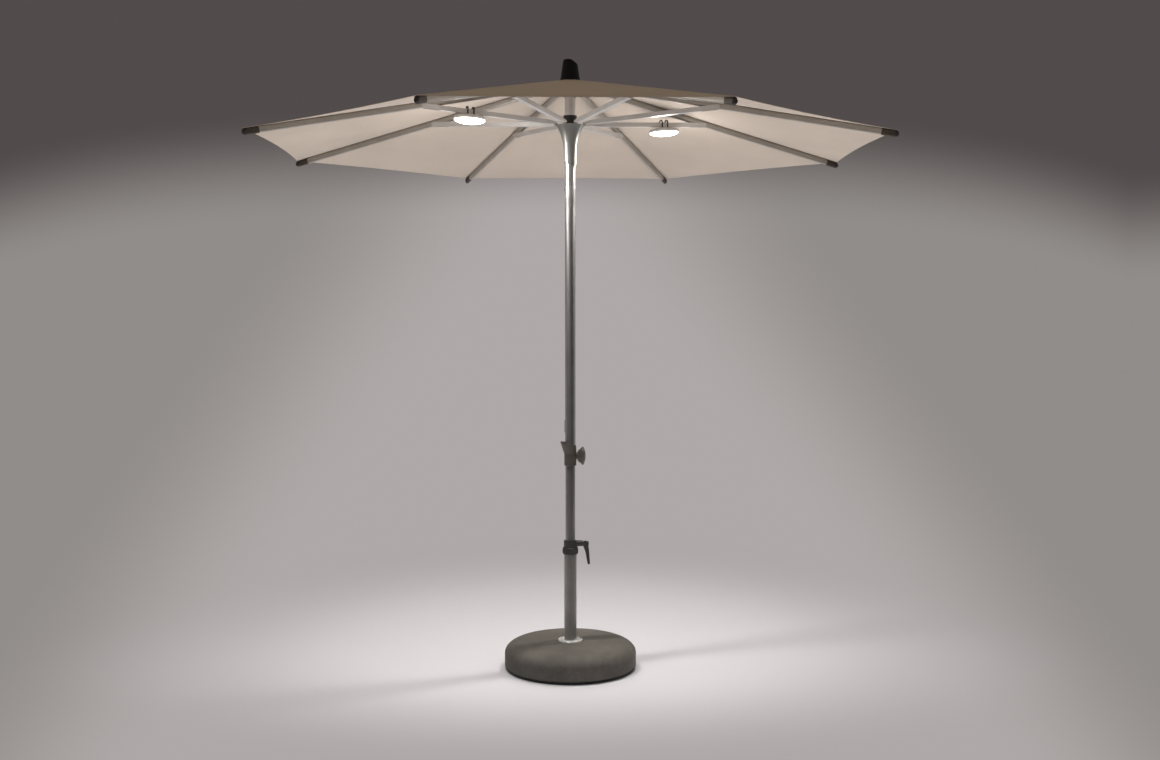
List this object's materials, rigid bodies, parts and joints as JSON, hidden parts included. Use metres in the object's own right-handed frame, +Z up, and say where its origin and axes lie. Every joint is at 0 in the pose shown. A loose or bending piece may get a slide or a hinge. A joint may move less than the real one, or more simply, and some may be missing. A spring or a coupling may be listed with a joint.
{
  "type": "patio umbrella light",
  "caption": "Round patio umbrella on a weighted disc base with a tilting, height-adjustable pole, folding ribs and struts, a stretched cloth canopy and clip-on lamps.",
  "frame": {"origin": "middle of the base's underside, on the floor", "axes": "+Z up along the pole; -Y towards the viewer of the picture; +X to the knob and the clamp's lever; the canopy is open at rest"},
  "size_m": [2.3148, 2.3148, 2.3831],
  "materials": {
    "concrete": "rough, pitted",
    "mat_rubber": "matt",
    "bright_steel": "bright",
    "socket_steel": "dull galvanised",
    "black_plastic": "fine grain",
    "bronze_plastic": "satin",
    "finial_plastic": "satin",
    "pole_aluminium": "satin",
    "tube_aluminium": "polished",
    "joint_alloy": "satin cast",
    "pin_steel": "plain",
    "funnel_grey": "satin grey",
    "rib_aluminium": "satin",
    "brown_plastic": "satin",
    "cloth": "plain weave, matt",
    "strut_aluminium": "satin",
    "lamp_grey": "satin",
    "lamp_white": "milky, lit"
  },
  "bodies": {
    "base": {"base_slab": "concrete", "base_mat": "mat_rubber", "base_flange": "bright_steel", "flange_screws": "bright_steel", "socket_tube": "socket_steel", "clamp_body": "black_plastic"},
    "lever": {"clamp_lever": "black_plastic"},
    "mast": {"lower_pole": "pole_aluminium"},
    "upper_mast": {"upper_tube": "tube_aluminium", "height_collar": "bronze_plastic", "tilt_lower": "joint_alloy", "tilt_pin": "pin_steel"},
    "knob": {"height_knob": "bronze_plastic"},
    "catch": {"spring_catch": "black_plastic"},
    "head": {"tilt_upper": "joint_alloy", "top_tube": "tube_aluminium", "crown_hub": "black_plastic", "crown_pins": "pin_steel", "finial": "finial_plastic"},
    "button": {"tilt_button": "black_plastic"},
    "runner": {"runner_funnel": "funnel_grey", "runner_bush": "black_plastic"},
    "rib_body_1": {"rib_1": "rib_aluminium", "rib_trim_1": "brown_plastic", "canopy_1": "cloth"},
    "strut_body_1": {"strut_1": "strut_aluminium", "lamp_housing_right": "lamp_grey", "lamp_diffuser_right": "lamp_white", "lamp_clips_right": "black_plastic"},
    "rib_body_2": {"rib_2": "rib_aluminium", "rib_trim_2": "brown_plastic", "canopy_2": "cloth"},
    "strut_body_2": {"strut_2": "strut_aluminium"},
    "rib_body_3": {"rib_3": "rib_aluminium", "rib_trim_3": "brown_plastic", "canopy_3": "cloth"},
    "strut_body_3": {"strut_3": "strut_aluminium"},
    "rib_body_4": {"rib_4": "rib_aluminium", "rib_trim_4": "brown_plastic", "canopy_4": "cloth"},
    "strut_body_4": {"strut_4": "strut_aluminium"},
    "rib_body_5": {"rib_5": "rib_aluminium", "rib_trim_5": "brown_plastic", "canopy_5": "cloth"},
    "strut_body_5": {"strut_5": "strut_aluminium", "lamp_housing_left": "lamp_grey", "lamp_diffuser_left": "lamp_white", "lamp_clips_left": "black_plastic"},
    "rib_body_6": {"rib_6": "rib_aluminium", "rib_trim_6": "brown_plastic", "canopy_6": "cloth"},
    "strut_body_6": {"strut_6": "strut_aluminium"},
    "rib_body_7": {"rib_7": "rib_aluminium", "rib_trim_7": "brown_plastic", "canopy_7": "cloth"},
    "strut_body_7": {"strut_7": "strut_aluminium"},
    "rib_body_8": {"rib_8": "rib_aluminium", "rib_trim_8": "brown_plastic", "canopy_8": "cloth"},
    "strut_body_8": {"strut_8": "strut_aluminium"}
  },
  "joints": [
    {"name": "clamp_turn", "type": "hinge", "parent": "base", "child": "lever", "pos_m": [0, 0, 0.4935], "axis": [1, 0, 0], "range_deg": [-100, 100]},
    {"name": "mast_turn", "type": "hinge", "parent": "base", "child": "mast", "pos_m": [0, 0, 0.5], "axis": [0, 0, 1], "continuous": true},
    {"name": "height_slide", "type": "slide", "parent": "mast", "child": "upper_mast", "axis": [0, 0, 1], "range_m": [-0.28, 0.2]},
    {"name": "knob_turn", "type": "hinge", "parent": "upper_mast", "child": "knob", "pos_m": [0.027, 0, 0.8406], "axis": [1, 0, 0], "range_deg": [0, 360]},
    {"name": "catch_press", "type": "slide", "parent": "upper_mast", "child": "catch", "axis": [1, 0, 0], "range_m": [0, 0.002], "stiffness_N_per_m": 600},
    {"name": "tilt", "type": "hinge", "parent": "upper_mast", "child": "head", "pos_m": [-0.01, 0, 1.8625], "axis": [0, 1, 0], "range_deg": [-30, 0]},
    {"name": "tilt_button_press", "type": "slide", "parent": "head", "child": "button", "axis": [1, 0, 0], "range_m": [0, 0.0015], "stiffness_N_per_m": 600},
    {"name": "rib_1_fold", "type": "hinge", "parent": "head", "child": "rib_body_1", "pos_m": [0.03511, 0.01454, 2.2876], "axis": [-0.3827, 0.9239, 0], "range_deg": [0, 67.2], "deforming": ["canopy_1"]},
    {"name": "rib_2_fold", "type": "hinge", "parent": "head", "child": "rib_body_2", "pos_m": [0.01454, 0.03511, 2.2876], "axis": [-0.9239, 0.3827, 0], "range_deg": [0, 67.5], "deforming": ["canopy_2"]},
    {"name": "rib_3_fold", "type": "hinge", "parent": "head", "child": "rib_body_3", "pos_m": [-0.01454, 0.03511, 2.2876], "axis": [-0.9239, -0.3827, 0], "range_deg": [0, 67.5], "deforming": ["canopy_3"]},
    {"name": "rib_4_fold", "type": "hinge", "parent": "head", "child": "rib_body_4", "pos_m": [-0.03511, 0.01454, 2.2876], "axis": [-0.3827, -0.9239, 0], "range_deg": [0, 67.5], "deforming": ["canopy_4"]},
    {"name": "rib_5_fold", "type": "hinge", "parent": "head", "child": "rib_body_5", "pos_m": [-0.03511, -0.01454, 2.2876], "axis": [0.3827, -0.9239, 0], "range_deg": [0, 67.5], "deforming": ["canopy_5"]},
    {"name": "rib_6_fold", "type": "hinge", "parent": "head", "child": "rib_body_6", "pos_m": [-0.01454, -0.03511, 2.2876], "axis": [0.9239, -0.3827, 0], "range_deg": [0, 67.5], "deforming": ["canopy_6"]},
    {"name": "rib_7_fold", "type": "hinge", "parent": "head", "child": "rib_body_7", "pos_m": [0.01454, -0.03511, 2.2876], "axis": [0.9239, 0.3827, 0], "range_deg": [0, 67.5], "deforming": ["canopy_7"]},
    {"name": "rib_8_fold", "type": "hinge", "parent": "head", "child": "rib_body_8", "pos_m": [0.03511, -0.01454, 2.2876], "axis": [0.3827, 0.9239, 0], "range_deg": [0, 67.5], "deforming": ["canopy_8"]},
    {"name": "strut_1_fold", "type": "hinge", "parent": "rib_body_1", "child": "strut_body_1", "pos_m": [0.54694, 0.22655, 2.16778], "axis": [-0.3827, 0.9239, 0], "range_deg": [-147, 0]},
    {"name": "strut_2_fold", "type": "hinge", "parent": "rib_body_2", "child": "strut_body_2", "pos_m": [0.22655, 0.54694, 2.16778], "axis": [-0.9239, 0.3827, 0], "range_deg": [-147, 0]},
    {"name": "strut_3_fold", "type": "hinge", "parent": "rib_body_3", "child": "strut_body_3", "pos_m": [-0.22655, 0.54694, 2.16778], "axis": [-0.9239, -0.3827, 0], "range_deg": [-147, 0]},
    {"name": "strut_4_fold", "type": "hinge", "parent": "rib_body_4", "child": "strut_body_4", "pos_m": [-0.54694, 0.22655, 2.16778], "axis": [-0.3827, -0.9239, 0], "range_deg": [-147, 0]},
    {"name": "strut_5_fold", "type": "hinge", "parent": "rib_body_5", "child": "strut_body_5", "pos_m": [-0.54694, -0.22655, 2.16778], "axis": [0.3827, -0.9239, 0], "range_deg": [-147, 0]},
    {"name": "strut_6_fold", "type": "hinge", "parent": "rib_body_6", "child": "strut_body_6", "pos_m": [-0.22655, -0.54694, 2.16778], "axis": [0.9239, -0.3827, 0], "range_deg": [-147, 0]},
    {"name": "strut_7_fold", "type": "hinge", "parent": "rib_body_7", "child": "strut_body_7", "pos_m": [0.22655, -0.54694, 2.16778], "axis": [0.9239, 0.3827, 0], "range_deg": [-147, 0]},
    {"name": "strut_8_fold", "type": "hinge", "parent": "rib_body_8", "child": "strut_body_8", "pos_m": [0.54694, -0.22655, 2.16778], "axis": [0.3827, 0.9239, 0], "range_deg": [-147, 0]},
    {"name": "runner_slide", "type": "slide", "parent": "head", "child": "runner", "axis": [0, 0, -1], "range_m": [0, 0.934]}
  ],
  "couplings": [
    {"joint": "rib_2_fold", "follows": "rib_1_fold", "ratio": 1},
    {"joint": "rib_3_fold", "follows": "rib_1_fold", "ratio": 1},
    {"joint": "rib_4_fold", "follows": "rib_1_fold", "ratio": 1},
    {"joint": "rib_5_fold", "follows": "rib_1_fold", "ratio": 1},
    {"joint": "rib_6_fold", "follows": "rib_1_fold", "ratio": 1},
    {"joint": "rib_7_fold", "follows": "rib_1_fold", "ratio": 1},
    {"joint": "rib_8_fold", "follows": "rib_1_fold", "ratio": 1},
    {"joint": "strut_1_fold", "follows": "rib_1_fold", "ratio": -2.1666},
    {"joint": "strut_2_fold", "follows": "rib_1_fold", "ratio": -2.1666},
    {"joint": "strut_3_fold", "follows": "rib_1_fold", "ratio": -2.1666},
    {"joint": "strut_4_fold", "follows": "rib_1_fold", "ratio": -2.1666},
    {"joint": "strut_5_fold", "follows": "rib_1_fold", "ratio": -2.1666},
    {"joint": "strut_6_fold", "follows": "rib_1_fold", "ratio": -2.1666},
    {"joint": "strut_7_fold", "follows": "rib_1_fold", "ratio": -2.1666},
    {"joint": "strut_8_fold", "follows": "rib_1_fold", "ratio": -2.1666},
    {"joint": "runner_slide", "follows": "rib_1_fold", "m_per_rad": 0.7944}
  ]
}
